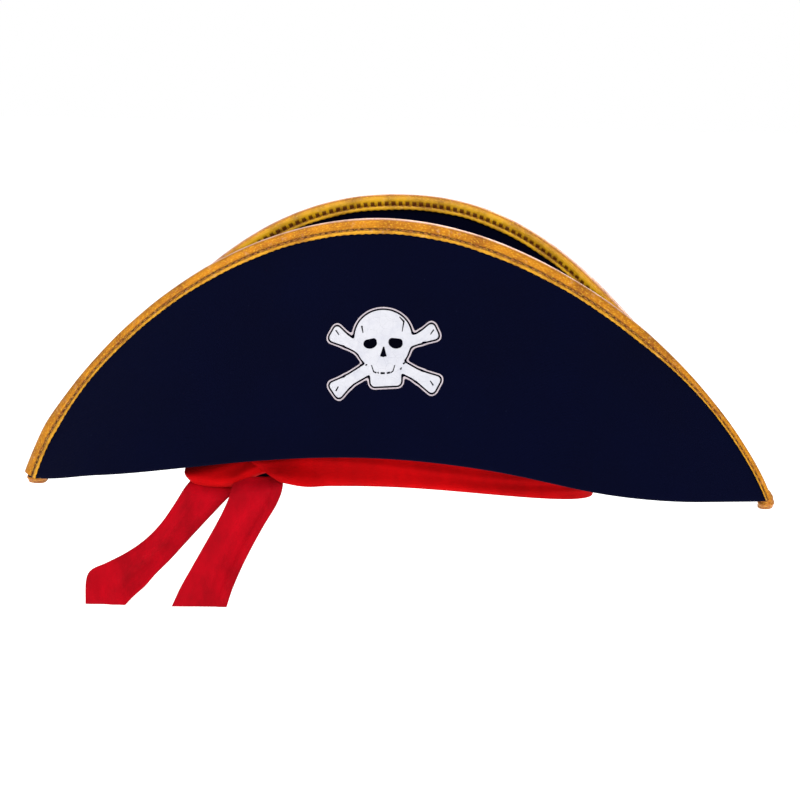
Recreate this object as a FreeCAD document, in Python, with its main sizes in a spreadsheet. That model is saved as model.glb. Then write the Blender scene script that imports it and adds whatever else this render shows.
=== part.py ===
import FreeCAD, Part
import math
import os

from FreeCAD import Placement, Rotation, Vector

# A turned-up two-leaf costume hat. Millimetres, +Z up, +X along the long side, the front faces -Y.
# The origin is the centre of the head opening, level with the sash's lower edge in the middle.

os.makedirs("parts", exist_ok=True)
doc = FreeCAD.newDocument("pirate_hat")

# ---------------------------------------------------------------- driving dimensions

DIMENSIONS = [
    ("half_span", 230.0),             # tip to tip is twice this
    ("tip_level", -8.2),              # height of the fold at the two tips
    ("left_tip_drop", 4.5),           # how much lower the left tip hangs than the right one
    ("fold_level", 21.9),             # height of the fold in the middle
    ("fold_power", 1.86),             # how quickly the fold drops towards the tips
    ("fold_depth", 65.0),             # how far the fold stands out in the middle, past the tips
    ("tip_depth", 5.0),               # half thickness of the two leaves where they meet
    ("crest_depth", 36.6),            # how far the top edge stands out in the middle, past the tips
    ("front_crest", 157.9),
    ("front_arch_power", 1.895),
    ("front_arch_fullness", 0.806),
    ("back_crest", 164.5),
    ("back_arch_power", 2.3),
    ("back_arch_fullness", 1.25),
    ("cloth_thickness", 0.8),
    ("stiffener_thickness", 1.2),
    ("leaf_reach", 0.955),            # where a leaf stops, as a share of the half span
    ("base_clearance", 1.2),          # between the flat base and a turned-up leaf
    ("binding_width", 10.0),
    ("binding_thickness", 1.2),
    ("binding_ease", 0.2),            # between the binding and the cloth it folds over
    ("tip_gap", 2.0),                 # between a leaf's end and the piece that closes the tip
    ("opening_half_width", 122.0),    # outside of the crown wall, which is oval
    ("opening_half_depth", 50.0),
    ("opening_sag_radius", 940.0),    # the lower edge is an arc, lower at the two sides
    ("crown_wall_top", 40.0),         # the wall turns into the dome here
    ("crown_dome_height", 65.0),
    ("crown_thickness", 1.0),
    ("lining_thickness", 0.6),
    ("sweatband_thickness", 1.2),
    ("sweatband_height", 20.0),
    ("sash_thickness", 1.6),
    ("knot_half_length", 33.0),
    ("knot_half_depth", 15.0),
    ("knot_half_height", 9.5),
    ("knot_across", -87.0),
    ("knot_forward", -42.0),
    ("knot_up", 3.0),
    ("knot_turn", -23.0),
    ("ribbon_thickness", 1.6),
    ("left_ribbon_forward", -50.0),
    ("right_ribbon_forward", -54.5),
    ("badge_across", 3.0),
    ("badge_up", 82.0),
    ("badge_print_thickness", 0.3),
    ("badge_film_thickness", 0.3),
    ("badge_border", 1.3),
]

sheet = doc.addObject("Spreadsheet::Sheet", "Dims")
for row, (alias, value) in enumerate(DIMENSIONS, start=1):
    sheet.set("A%d" % row, alias)
    sheet.set("B%d" % row, "%g" % value)
    sheet.setAlias("B%d" % row, alias)
doc.recompute()


def dim(alias):
    """One driving dimension, read from the sheet."""
    return float(sheet.get(alias))


LEAF_THICKNESS = 2 * dim("cloth_thickness") + dim("stiffener_thickness")
FAR = 400.0                           # longer than the hat in any direction
SIDES = {"front": -1, "back": 1}      # which way each side faces along Y
subparts = {}                         # node name -> document object


def keep(name, item):
    """Give an object its node's name and list it for export."""
    item.Label = name
    subparts[name] = item
    return item


def shape_feature(name, shape):
    """A sub-part whose doubly curved shape comes straight from Part's functions."""
    feature = doc.addObject("Part::Feature", name)
    feature.Shape = shape
    return keep(name, feature)


def boolean(kind, name, base, tool):
    """A Part::Cut, Part::Common or Part::Fuse of two document objects."""
    result = doc.addObject("Part::" + kind, name)
    result.Base = base
    result.Tool = tool
    return result


# ---------------------------------------------------------------- crown, lining, sweatband, sash

def oval_column(name, growth):
    """An upright oval column, larger than the crown wall by the expression growth."""
    oval = doc.addObject("Part::Ellipse", name + "_oval")
    oval.setExpression("MajorRadius", "Dims.opening_half_width + " + growth)
    oval.setExpression("MinorRadius", "Dims.opening_half_depth + " + growth)
    oval.setExpression("Placement.Base.z", "-Dims.crown_wall_top")
    column = doc.addObject("Part::Extrusion", name)
    column.Base = oval
    column.DirMode = "Custom"
    column.Dir = Vector(0, 0, 1)
    column.Solid = True
    column.setExpression("LengthFwd", "2 * Dims.crown_wall_top")
    return column


def half_space(name, facing):
    """A box that holds everything in front of or behind the middle seam."""
    box = doc.addObject("Part::Box", name)
    box.Length = 2 * FAR
    box.Width = FAR
    box.Height = 2 * FAR
    box.Placement.Base = Vector(-FAR, min(facing, 0) * FAR, -FAR)
    return box


def crown_form(name, growth, facing):
    """Half of the solid inside one surface of the crown: an oval column with a dome on it."""
    dome = doc.addObject("Part::Ellipsoid", name + "_dome")
    dome.setExpression("Radius1", "Dims.crown_dome_height + " + growth)
    dome.setExpression("Radius2", "Dims.opening_half_width + " + growth)
    dome.setExpression("Radius3", "Dims.opening_half_depth + " + growth)
    dome.Angle1 = 0
    dome.Angle2 = 90
    dome.Angle3 = 180
    dome.setExpression("Placement.Base.z", "Dims.crown_wall_top")
    dome.Placement.Rotation = Rotation(Vector(0, 0, 1), 90 - 90 * facing)
    column = oval_column(name + "_column", growth)
    wall = boolean("Common", name + "_wall", column, half_space(name + "_half", facing))
    return boolean("Fuse", name, wall, dome)


def crown_skin(name, outer_growth, inner_growth, facing):
    """Half of one cloth skin of the crown, cut off along the sagging lower edge."""
    outside = crown_form(name + "_outside", outer_growth, facing)
    inside = crown_form(name + "_inside", inner_growth, facing)
    skin = boolean("Cut", name + "_skin", outside, inside)
    return boolean("Cut", name, skin, below_edge)


def sagging_cylinder(name, rise):
    """A huge lying cylinder whose top is the sagging line of the opening, raised by rise."""
    cylinder = doc.addObject("Part::Cylinder", name)
    cylinder.setExpression("Radius", "Dims.opening_sag_radius + " + rise)
    cylinder.Height = FAR
    cylinder.setExpression("Placement.Base.z", "-Dims.opening_sag_radius")
    cylinder.setExpression("Placement.Base.y", "%g" % (FAR / 2))
    cylinder.Placement.Rotation = Rotation(Vector(1, 0, 0), 90)
    return cylinder


LINING_GROWTH = "(-Dims.crown_thickness)"
SWEATBAND_GROWTH = "(-Dims.crown_thickness - Dims.lining_thickness)"
HOLLOW_GROWTH = "(-Dims.crown_thickness - Dims.lining_thickness - Dims.sweatband_thickness)"

below_edge = sagging_cylinder("below_edge", "0")
for side, facing in SIDES.items():
    node = "crown_%s_panel" % side
    keep(node, crown_skin(node, "0", LINING_GROWTH, facing))

lining_halves = []
for side, facing in SIDES.items():
    lining_halves.append(crown_skin("lining_" + side, LINING_GROWTH, SWEATBAND_GROWTH, facing))
keep("crown_lining", boolean("Fuse", "crown_lining", *lining_halves))

sweatband_ring = boolean(
    "Cut",
    "sweatband_ring",
    oval_column("sweatband_outside", SWEATBAND_GROWTH),
    oval_column("sweatband_inside", HOLLOW_GROWTH),
)
sweatband_top = sagging_cylinder("sweatband_top", "Dims.sweatband_height")
sweatband_strip = boolean("Common", "sweatband_strip", sweatband_ring, sweatband_top)
keep("sweatband", boolean("Cut", "sweatband", sweatband_strip, below_edge))


# ---------------------------------------------------------------- the lines the brim follows

def tip_drop(u):
    """How much lower the brim hangs towards its left tip, from three quarters of the way out."""
    share = max(0.0, (-u - 0.75) / 0.25)
    return dim("left_tip_drop") * share * share * (3 - 2 * share)


def fold_height(u):
    """Height of the fold at the share u of the half span."""
    rise = dim("fold_level") - dim("tip_level")
    return dim("tip_level") + rise * (1 - u * u) ** dim("fold_power") - tip_drop(u)


def fold_distance(u):
    """How far the fold stands from the hat's middle plane."""
    return dim("tip_depth") + dim("fold_depth") * (1 - abs(u) ** 3)


def crest_distance(u):
    """How far a leaf's top edge stands from the middle plane."""
    return dim("tip_depth") + dim("crest_depth") * (1 - abs(u) ** 1.7) ** 1.9


def crest_height(side, u):
    """Height of the top edge of the front or back leaf."""
    arch = (1 - abs(u) ** dim(side + "_arch_power")) ** dim(side + "_arch_fullness")
    return dim("tip_level") + (dim(side + "_crest") - dim("tip_level")) * arch - tip_drop(u)


def spread(count, reach):
    """Shares of the half span from -reach to reach, closer together near the tips."""
    steps = range(-count, count + 1)
    return [reach * math.sin(math.pi / 2 * step / count) for step in steps]


SECTIONS = spread(12, dim("leaf_reach"))


def leaf_frame(side, u):
    """Fold point, top point, the way up the leaf, and the way into it, in one section."""
    x = u * dim("half_span")
    facing = SIDES[side]
    fold = Vector(x, facing * fold_distance(u), fold_height(u))
    crest = Vector(x, facing * crest_distance(u), crest_height(side, u))
    up = (crest - fold).normalize()
    inward = Vector(0, up.z, -up.y) * (-facing)
    return fold, crest, up, inward


def section_wire(side, u, corners):
    """A closed section; a corner is (height from fold or top, depth into the leaf)."""
    fold, crest, up, inward = leaf_frame(side, u)
    points = []
    for start, along, depth in corners:
        origin = fold if start == "fold" else crest
        points.append(origin + up * along + inward * depth)
    return Part.makePolygon(points + points[:1])


def leaf_layer(side, outside, inside):
    """One cloth layer of a leaf, between two depths measured from its outer face."""
    corners = [
        ("fold", 0, outside),
        ("crest", 0, outside),
        ("crest", 0, inside),
        ("fold", 0, inside),
    ]
    return Part.makeLoft([section_wire(side, u, corners) for u in SECTIONS], True, False)


def binding_drop(side, u):
    """How far the binding reaches down the section, square to the edge at its true width."""
    step = 0.002
    run = 2 * step * dim("half_span")
    slope = (crest_height(side, abs(u) - step) - crest_height(side, abs(u) + step)) / run
    fold, crest, up, inward = leaf_frame(side, u)
    return min(dim("binding_width") * math.hypot(1, slope), 0.82 * (crest - fold).Length)


def leaf_binding(side):
    """The folded strip over a leaf's top edge: a U section along the whole edge."""
    ease = dim("binding_ease")
    wall = dim("binding_thickness")
    inside = LEAF_THICKNESS + ease
    wires = []
    for u in SECTIONS:
        drop = -binding_drop(side, u)
        corners = [
            ("crest", drop, -wall),
            ("crest", wall, -wall),
            ("crest", wall, inside + wall),
            ("crest", drop, inside + wall),
            ("crest", drop, inside),
            ("crest", ease, inside),
            ("crest", ease, -ease),
            ("crest", drop, -ease),
        ]
        wires.append(section_wire(side, u, corners))
    return Part.makeLoft(wires, True, False)


LAYERS = [
    ("outer_cloth", 0.0, dim("cloth_thickness")),
    ("interlining", dim("cloth_thickness"), LEAF_THICKNESS - dim("cloth_thickness")),
    ("inner_cloth", LEAF_THICKNESS - dim("cloth_thickness"), LEAF_THICKNESS),
]

for side in SIDES:
    for layer, outside, inside in LAYERS:
        shape_feature("brim_%s_%s" % (side, layer), leaf_layer(side, outside, inside))
    shape_feature("trim_" + side, leaf_binding(side))


# ---------------------------------------------------------------- flat base of the brim

LEAF_END = dim("leaf_reach") * dim("half_span")
TIP_START = LEAF_END + dim("tip_gap")
BASE_SECTIONS = spread(8, TIP_START / dim("half_span"))


def fold_curve(rise):
    """The fold's height line, drawn in the middle plane and raised by rise."""
    curve = Part.BSplineCurve()
    curve.interpolate([Vector(u * dim("half_span"), 0, fold_height(u) + rise) for u in BASE_SECTIONS])
    return curve.toShape()


def closed_prism(edges, start, reach):
    """A solid from a closed outline of edges, moved by start and drawn out by reach."""
    face = Part.Face(Part.Wire(Part.__sortEdges__(edges)))
    face.translate(start)
    return face.extrude(reach)


def fold_slab(low, high):
    """Everything between the fold line raised by low and raised by high."""
    lower = fold_curve(low)
    upper = fold_curve(high)
    ends = [
        Part.makeLine(lower.valueAt(lower.FirstParameter), upper.valueAt(upper.FirstParameter)),
        Part.makeLine(lower.valueAt(lower.LastParameter), upper.valueAt(upper.LastParameter)),
    ]
    return closed_prism([lower, upper] + ends, Vector(0, -FAR / 2, 0), Vector(0, FAR, 0))


def base_depth(side, u):
    """How far the base reaches from the middle plane: clear of the leaf that leans over it."""
    fold, crest, up, inward = leaf_frame(side, max(-dim("leaf_reach"), min(dim("leaf_reach"), u)))
    wall = LEAF_THICKNESS + dim("binding_ease") + dim("binding_thickness")
    climb = (LEAF_THICKNESS + dim("base_clearance") + wall * abs(up.y)) / up.z
    return abs(fold.y) - climb * abs(up.y) - wall * up.z - dim("base_clearance")


def base_plan():
    """The base seen from above: a lens that stops short of the two leaves."""
    edges = []
    ends = []
    for side, facing in SIDES.items():
        curve = Part.BSplineCurve()
        points = []
        for u in BASE_SECTIONS:
            points.append(Vector(u * dim("half_span"), facing * base_depth(side, u), 0))
        curve.interpolate(points)
        edges.append(curve.toShape())
        ends.append((points[0], points[-1]))
    for end in (0, 1):
        edges.append(Part.makeLine(ends[0][end], ends[1][end]))
    return closed_prism(edges, Vector(0, 0, -FAR / 2), Vector(0, 0, FAR))


doc.recompute()
crown_column = oval_column("crown_column", "0")
doc.recompute()
for layer, low, high in LAYERS:
    slab = fold_slab(low, high).common(base_plan())
    shape_feature("brim_base_" + layer, slab.cut(crown_column.Shape).removeSplitter())


# ---------------------------------------------------------------- sash, knot and ribbons

sash_column = oval_column("sash_column", "Dims.sash_thickness")
doc.recompute()
sash_ring = sash_column.Shape.cut(crown_column.Shape)
under_base = fold_slab(-FAR / 2, 0)
sash_shape = sash_ring.common(under_base).cut(below_edge.Shape)
shape_feature("sash_band", sash_shape)

knot_body = doc.addObject("Part::Ellipsoid", "knot_body")
knot_body.setExpression("Radius1", "Dims.knot_half_height")
knot_body.setExpression("Radius2", "Dims.knot_half_length")
knot_body.setExpression("Radius3", "Dims.knot_half_depth")
knot_body.setExpression("Placement.Base.x", "Dims.knot_across")
knot_body.setExpression("Placement.Base.y", "Dims.knot_forward")
knot_body.setExpression("Placement.Base.z", "Dims.knot_up")
knot_body.Placement.Rotation = Rotation(Vector(0, 0, 1), dim("knot_turn"))
keep("sash_knot", boolean("Cut", "sash_knot", knot_body, sash_column))


def origin_plane(body, role):
    """One of a body's own origin planes, found by its role."""
    return next(item for item in body.Origin.OriginFeatures if item.Role == role)


def flat_ribbon(name, forward, corners):
    """A flat piece of doubled ribbon, drawn on the upright plane and given its thickness."""
    body = doc.addObject("PartDesign::Body", name)
    sketch = body.newObject("Sketcher::SketchObject", name + "_outline")
    sketch.AttachmentSupport = [(origin_plane(body, "XZ_Plane"), "")]
    sketch.MapMode = "FlatFace"
    sketch.setExpression("AttachmentOffset.Base.z", "-Dims." + forward)
    points = [Vector(x, z, 0) for x, z in corners]
    for start, end in zip(points, points[1:] + points[:1]):
        sketch.addGeometry(Part.LineSegment(start, end))
    pad = body.newObject("PartDesign::Pad", name + "_pad")
    pad.Profile = sketch
    pad.Midplane = True
    pad.setExpression("Length", "Dims.ribbon_thickness")
    body.Tip = pad
    return keep(name, body)


RIBBONS = {
    "left": {
        "forward": "left_ribbon_forward",
        "neck": [(-97.0, -8.5), (-103.0, -8.5), (-120.5, -11.0), (-101.8, -25.9)],
        "outer_edge": [(-122.0, -12.9), (-132.0, -25.0), (-142.5, -36.5), (-153.0, -45.0),
                       (-169.0, -54.5), (-175.8, -60.0), (-177.7, -66.0), (-178.5, -79.0)],
        "inner_edge": [(-103.3, -27.8), (-117.0, -40.5), (-127.5, -51.5), (-142.5, -66.5), (-154.0, -79.0)],
    },
    "right": {
        "forward": "right_ribbon_forward",
        "neck": [(-69.0, -8.5), (-75.0, -8.5), (-88.5, -12.0), (-66.5, -24.0)],
        "outer_edge": [(-89.7, -14.1), (-101.0, -34.5), (-111.0, -52.5), (-123.0, -75.0)],
        "inner_edge": [(-67.7, -26.1), (-75.0, -37.5), (-81.5, -51.0), (-86.0, -62.5), (-90.0, -75.0)],
    },
}

for hand, ribbon in RIBBONS.items():
    flat_ribbon("tail_%s_neck" % hand, ribbon["forward"], ribbon["neck"])
    flat_ribbon("tail_" + hand, ribbon["forward"], ribbon["outer_edge"] + ribbon["inner_edge"][::-1])


# ---------------------------------------------------------------- tips

def tip_block(facing):
    """The rounded foot that joins and covers the two leaves at one tip of the hat."""
    half_depth = dim("tip_depth") + dim("binding_thickness") + 0.6
    reach = dim("leaf_reach")
    top = crest_height("front", facing * reach) + dim("binding_thickness")
    low = dim("tip_level") - tip_drop(facing)
    stations = [
        (TIP_START, low - 2.0, top - 2.0, half_depth),
        (TIP_START + 3.5, low - 2.6, top - 9.0, half_depth),
        (dim("half_span"), low - 3.4, low + 6.0, half_depth),
        (dim("half_span") + 2.6, low - 3.0, low + 1.5, half_depth - 1.6),
    ]
    wires = []
    for x, bottom, crown, depth in stations:
        corner = 0.35 * depth
        outline = [
            (-depth + corner, bottom),
            (depth - corner, bottom),
            (depth, bottom + corner),
            (depth, crown - corner),
            (depth - corner, crown),
            (-depth + corner, crown),
            (-depth, crown - corner),
            (-depth, bottom + corner),
        ]
        points = [Vector(facing * x, y, z) for y, z in outline]
        wires.append(Part.makePolygon(points + points[:1]))
    return Part.makeLoft(wires, True, True)


for hand, facing in (("left", -1), ("right", 1)):
    shape_feature("trim_tip_" + hand, tip_block(facing))


# ---------------------------------------------------------------- skull badge

def oval_prism(x, z, radius_x, radius_z):
    """An oval prism along Y, placed from the badge's middle."""
    oval = Part.makeCylinder(1, FAR / 2, Vector(0, 0, 0), Vector(0, -1, 0))
    stretch = FreeCAD.Matrix()
    stretch.scale(radius_x, 1, radius_z)
    oval = oval.transformGeometry(stretch)
    oval.translate(Vector(x, 0, z))
    return oval


def bar_prism(start, end, half_width):
    """A straight bar between two points, drawn out along Y."""
    way = Vector(end[0] - start[0], 0, end[1] - start[1]).normalize()
    across = Vector(-way.z, 0, way.x) * half_width
    first = Vector(start[0], 0, start[1])
    last = Vector(end[0], 0, end[1])
    points = [first - across, last - across, last + across, first + across]
    return Part.Face(Part.makePolygon(points + points[:1])).extrude(Vector(0, -FAR / 2, 0))


def badge_prism(border):
    """Skull, jaw and two crossed bones, grown all round by border."""
    shapes = [bar_prism((0, 0), (0, -20.5 - border), 11.0 + border)]
    for facing in (-1, 1):
        upper = (facing * 28.0, 11.8)
        lower = (-facing * 28.0, -19.5)
        shapes.append(bar_prism(upper, lower, 2.9 + border))
        for end, lift in ((upper, 1), (lower, -1)):
            outwards = 1 if end[0] > 0 else -1
            shapes.append(oval_prism(end[0] + outwards * 0.8, end[1] + lift * 3.3, 3.9 + border, 3.6 + border))
            shapes.append(oval_prism(end[0] + outwards * 2.4, end[1] - lift * 1.5, 3.8 + border, 3.5 + border))
    return oval_prism(0, 9.5, 17.6 + border, 17.0 + border).multiFuse(shapes)


def badge_openings():
    """Eye sockets and nose."""
    shapes = [oval_prism(facing * 7.2, 4.6, 4.2, 3.4) for facing in (-1, 1)]
    shapes.append(bar_prism((0, 1.0), (0, -4.2), 1.9))
    return shapes


def on_leaf(prism, low, high):
    """The part of a prism that lies between two heights above the front leaf's outer face."""
    placed = prism.copy()
    placed.translate(Vector(dim("badge_across"), 0, dim("badge_up")))
    return placed.common(leaf_layer("front", -high, -low)).removeSplitter()


film = dim("badge_film_thickness")
print_top = film + dim("badge_print_thickness")
shape_feature("badge_film", on_leaf(badge_prism(dim("badge_border")), 0, film))
printed = badge_prism(0).cut(badge_openings())
shape_feature("badge_print", on_leaf(printed, film, print_top))


# ---------------------------------------------------------------- checks and export

doc.recompute()
for item in doc.Objects:
    if "Invalid" in item.State or "Error" in item.State:
        raise RuntimeError("%s did not build: %s" % (item.Label, item.State))

for name, item in subparts.items():
    shape = item.Shape
    if shape.isNull() or not shape.isValid() or shape.Volume < 1:
        raise RuntimeError(name + " has no valid shape")
    box = shape.BoundBox
    print(
        "%-26s %9.1f mm3  solids %d  x %.1f..%.1f  y %.1f..%.1f  z %.1f..%.1f"
        % (name, shape.Volume, len(shape.Solids), box.XMin, box.XMax, box.YMin, box.YMax, box.ZMin, box.ZMax)
    )
    shape.exportStep("parts/%s.step" % name)
print(len(subparts), "sub-parts")
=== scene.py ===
# %% [markdown]
# # A two-sided pirate hat
# This lesson dresses a plain CAD model of a costume hat in cloth, gilt binding, velvet and print.
# The CAD model is the frame. It is imported first and never moved, so every new piece is made in
# the same coordinates: X runs from tip to tip, the front faces -Y, and Z is up, all in metres.

# %% Load the frame
import math

import bmesh
import bpy
import numpy
from mathutils import Matrix, Vector
from mathutils.bvhtree import BVHTree


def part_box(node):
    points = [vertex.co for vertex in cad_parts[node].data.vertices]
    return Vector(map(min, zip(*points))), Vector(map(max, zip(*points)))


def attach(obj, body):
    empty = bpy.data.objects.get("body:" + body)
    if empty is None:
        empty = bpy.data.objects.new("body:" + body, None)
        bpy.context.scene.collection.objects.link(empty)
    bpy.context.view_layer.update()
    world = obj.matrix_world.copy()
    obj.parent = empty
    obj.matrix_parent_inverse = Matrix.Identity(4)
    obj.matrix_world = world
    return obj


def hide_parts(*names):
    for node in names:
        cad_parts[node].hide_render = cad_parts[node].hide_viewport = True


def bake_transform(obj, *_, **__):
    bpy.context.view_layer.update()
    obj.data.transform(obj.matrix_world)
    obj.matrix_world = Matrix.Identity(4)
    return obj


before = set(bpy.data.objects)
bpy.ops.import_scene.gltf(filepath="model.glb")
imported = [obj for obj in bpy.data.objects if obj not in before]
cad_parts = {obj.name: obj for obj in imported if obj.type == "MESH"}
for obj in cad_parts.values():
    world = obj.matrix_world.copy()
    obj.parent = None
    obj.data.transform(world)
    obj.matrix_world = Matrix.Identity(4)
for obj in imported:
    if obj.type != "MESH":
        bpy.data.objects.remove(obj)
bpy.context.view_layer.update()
MM = 0.001
FACING = {"front": -1, "back": 1}

# %% [markdown]
# ## A grid that becomes cloth
# Cloth is a sheet of threads, so its mesh is best a grid whose rows and columns run as the threads
# do. One could sculpt such a sheet by hand, but a formula is easier to change: the bmesh grid
# operator makes a flat grid, and a function then tells every corner where it lies. The same
# function gives the corner's place on the uncut cloth in metres, which is kept as the UV map, so
# a weave can follow the surface. A tube is a grid whose two long edges are welded together.

# %% Cloth grid
def publish(bm, name, finish):
    """Turn a bmesh into an object at the origin, with smooth faces and one material."""
    for face in bm.faces:
        face.smooth = True
    mesh = bpy.data.meshes.new(name)
    bm.to_mesh(mesh)
    bm.free()
    mesh.materials.append(finish)
    piece = bpy.data.objects.new(name, mesh)
    bpy.context.scene.collection.objects.link(piece)
    return piece


def cloth_grid(name, columns, rows, place, finish, turned=False, welded=False):
    """A grid laid by place(a, b), which gives a point and its spot on the flat cloth."""
    bm = bmesh.new()
    bmesh.ops.create_grid(bm, x_segments=columns, y_segments=rows, size=0.5)
    cloth = bm.loops.layers.uv.new("cloth")
    spots = {}
    for corner in bm.verts:
        corner.co, spots[corner] = place(corner.co.x + 0.5, corner.co.y + 0.5)
    for face in bm.faces:
        for loop in face.loops:
            loop[cloth].uv = spots[loop.vert]
    if turned:
        bmesh.ops.reverse_faces(bm, faces=bm.faces[:])
    if welded:
        bmesh.ops.remove_doubles(bm, verts=bm.verts[:], dist=0.003 * MM)
    return publish(bm, name, finish)


def turned_out(piece):
    """Make a closed piece's faces look outwards."""
    bm = bmesh.new()
    bm.from_mesh(piece.data)
    bmesh.ops.recalc_face_normals(bm, faces=bm.faces[:])
    bm.to_mesh(piece.data)
    bm.free()
    return piece


def settle(piece):
    """Make the piece's modifiers part of its mesh."""
    finished = piece.evaluated_get(bpy.context.evaluated_depsgraph_get())
    mesh = bpy.data.meshes.new_from_object(finished)
    piece.modifiers.clear()
    piece.data = mesh
    return piece


def thicken(piece, thickness):
    """Give a sheet its thickness, on the side its faces look away from."""
    solidify = piece.modifiers.new("thickness", "SOLIDIFY")
    solidify.thickness = thickness
    solidify.offset = -1
    solidify.use_even_offset = False
    return settle(piece)


def area_of(piece):
    """Area of all faces, in square metres."""
    return sum(face.area for face in piece.data.polygons)


def smooth_line(points):
    """A function of 0 to 1 that runs smoothly through the points."""
    points = [Vector(point) for point in points]
    padded = [2 * points[0] - points[1], *points, 2 * points[-1] - points[-2]]

    def at(share):
        place = min(max(share, 0.0), 1.0) * (len(points) - 1)
        step = min(int(place), len(points) - 2)
        f = place - step
        a, b, c, d = padded[step:step + 4]
        return 0.5 * (2 * b + (c - a) * f + (2 * a - 5 * b + 4 * c - d) * f ** 2
                      + (3 * b - a - 3 * c + d) * f ** 3)

    return at


def ease(value, low, high):
    """0 below low, 1 above high, and a smooth step between."""
    share = min(max((value - low) / (high - low), 0.0), 1.0)
    return share * share * (3 - 2 * share)


def lump(value, centre, width):
    """A smooth bump, 1 at its centre."""
    return math.exp(-((value - centre) / width) ** 2)


def lumps(value, rows):
    """The sum of several bumps, each (height, centre, width)."""
    return sum(height * lump(value, centre, width) for height, centre, width in rows)


# %% [markdown]
# ## Sums on shader sockets
# A material is a graph of nodes. Wiring it by hand takes many lines, so a small class wraps an
# output socket and lets Python's own + - * / build the Math nodes. A second class holds one
# material and makes any other node from its type, its settings and what goes into its sockets.
# A number that is the same all over is set straight on the shader.

# %% Shader helpers
class Wire:
    """An output socket that can be used in sums."""

    def __init__(self, finish, socket):
        self.finish = finish
        self.socket = socket

    def sum(self, operation, first, second=0.0, clamp=False):
        settings = {"operation": operation, "use_clamp": clamp}
        return self.finish.node("ShaderNodeMath", settings, {0: first, 1: second})

    def __add__(self, other):
        return self.sum("ADD", self, other)

    def __sub__(self, other):
        return self.sum("SUBTRACT", self, other)

    def __rsub__(self, other):
        return self.sum("SUBTRACT", other, self)

    def __mul__(self, other):
        return self.sum("MULTIPLY", self, other)

    def __truediv__(self, other):
        return self.sum("DIVIDE", self, other)

    __radd__ = __add__
    __rmul__ = __mul__

    def wave(self):
        """A sine of the number, moved to 0..1."""
        return self.sum("SINE", self) * 0.5 + 0.5

    def band(self, low, high):
        """0 at low and 1 at high, with no more on either side."""
        return self.sum("MULTIPLY", self - low, 1 / (high - low), clamp=True)


class Finish:
    """One material and its shader."""

    def __init__(self, name, **constants):
        self.material = bpy.data.materials.new(name)
        self.material.use_nodes = True
        self.tree = self.material.node_tree
        self.shader = self.tree.nodes["Principled BSDF"]
        for socket, value in constants.items():
            self.shader.inputs[socket.replace("_", " ")].default_value = value

    def node(self, kind, settings=None, sockets=None, output=0):
        made = self.tree.nodes.new(kind)
        for key, value in (settings or {}).items():
            if key == "stops":
                self.set_stops(made.color_ramp, value)
            else:
                setattr(made, key, value)
        for key, value in (sockets or {}).items():
            self.feed(made.inputs[key], value)
        return Wire(self, made.outputs[output])

    def set_stops(self, ramp, stops):
        while len(ramp.elements) < len(stops):
            ramp.elements.new(1.0)
        for element, (position, colour) in zip(ramp.elements, stops):
            element.position = position
            element.color = colour

    def feed(self, socket, value):
        if isinstance(value, Wire):
            self.tree.links.new(value.socket, socket)
        else:
            socket.default_value = value

    def mix(self, mask, low, high):
        """From the colour low to the colour high as mask goes from 0 to 1."""
        settings = {"data_type": "RGBA"}
        return self.node("ShaderNodeMix", settings, {0: mask, 6: low, 7: high}, output=2)

    def flat(self):
        """The two coordinates along the cloth, in metres."""
        spot = self.node("ShaderNodeUVMap", {"uv_map": "cloth"})
        split = self.tree.nodes.new("ShaderNodeSeparateXYZ")
        self.tree.links.new(spot.socket, split.inputs[0])
        return spot, Wire(self, split.outputs[0]), Wire(self, split.outputs[1])

    def place(self):
        """The point's place on the object, in metres."""
        return self.node("ShaderNodeTexCoord", output="Object")

    def stretched(self, vector, scale):
        """A vector multiplied by three numbers."""
        return self.node("ShaderNodeVectorMath", {"operation": "MULTIPLY"}, {0: vector, 1: scale})

    def noise(self, vector, scale, detail=3.0, roughness=0.55):
        """Cloudy noise around 0.5, with scale cells to the metre."""
        sockets = {"Vector": vector, "Scale": scale, "Detail": detail, "Roughness": roughness}
        return self.node("ShaderNodeTexNoise", None, sockets)

    def finish(self, colour, roughness, height=None, depth=0.0001, metallic=None, coat=None):
        """Connect what varies over the surface."""
        self.feed(self.shader.inputs["Base Color"], colour)
        self.feed(self.shader.inputs["Roughness"], roughness)
        if metallic is not None:
            self.feed(self.shader.inputs["Metallic"], metallic)
        if coat is not None:
            self.feed(self.shader.inputs["Coat Weight"], coat)
        if height is not None:
            sockets = {"Strength": 1.0, "Distance": depth, "Height": height}
            bump = self.node("ShaderNodeBump", None, sockets)
            self.feed(self.shader.inputs["Normal"], bump)
        print("finish", self.material.name, len(self.tree.nodes), "nodes")
        return self.material


def rgb(red, green, blue):
    """A screen colour of 0..255 as the linear colour that shaders use."""
    shares = [value / 255 for value in (red, green, blue)]
    return (*[s / 12.92 if s < 0.04045 else ((s + 0.055) / 1.055) ** 2.4 for s in shares], 1.0)


TURN = 2 * math.pi

# %% [markdown]
# ## Navy brim cloth
# The brim and crown are cut from a brushed navy cotton with a fine diagonal weave. Two crossed sine
# waves in the cloth's own coordinates give the twill, noise breaks it up so that it isn't a
# printed grid, and a little sheen is the fuzz that catches light at a glance. The colour is nearly
# black, so the variation is in small steps of blue, with sparse pale lint.

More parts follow.
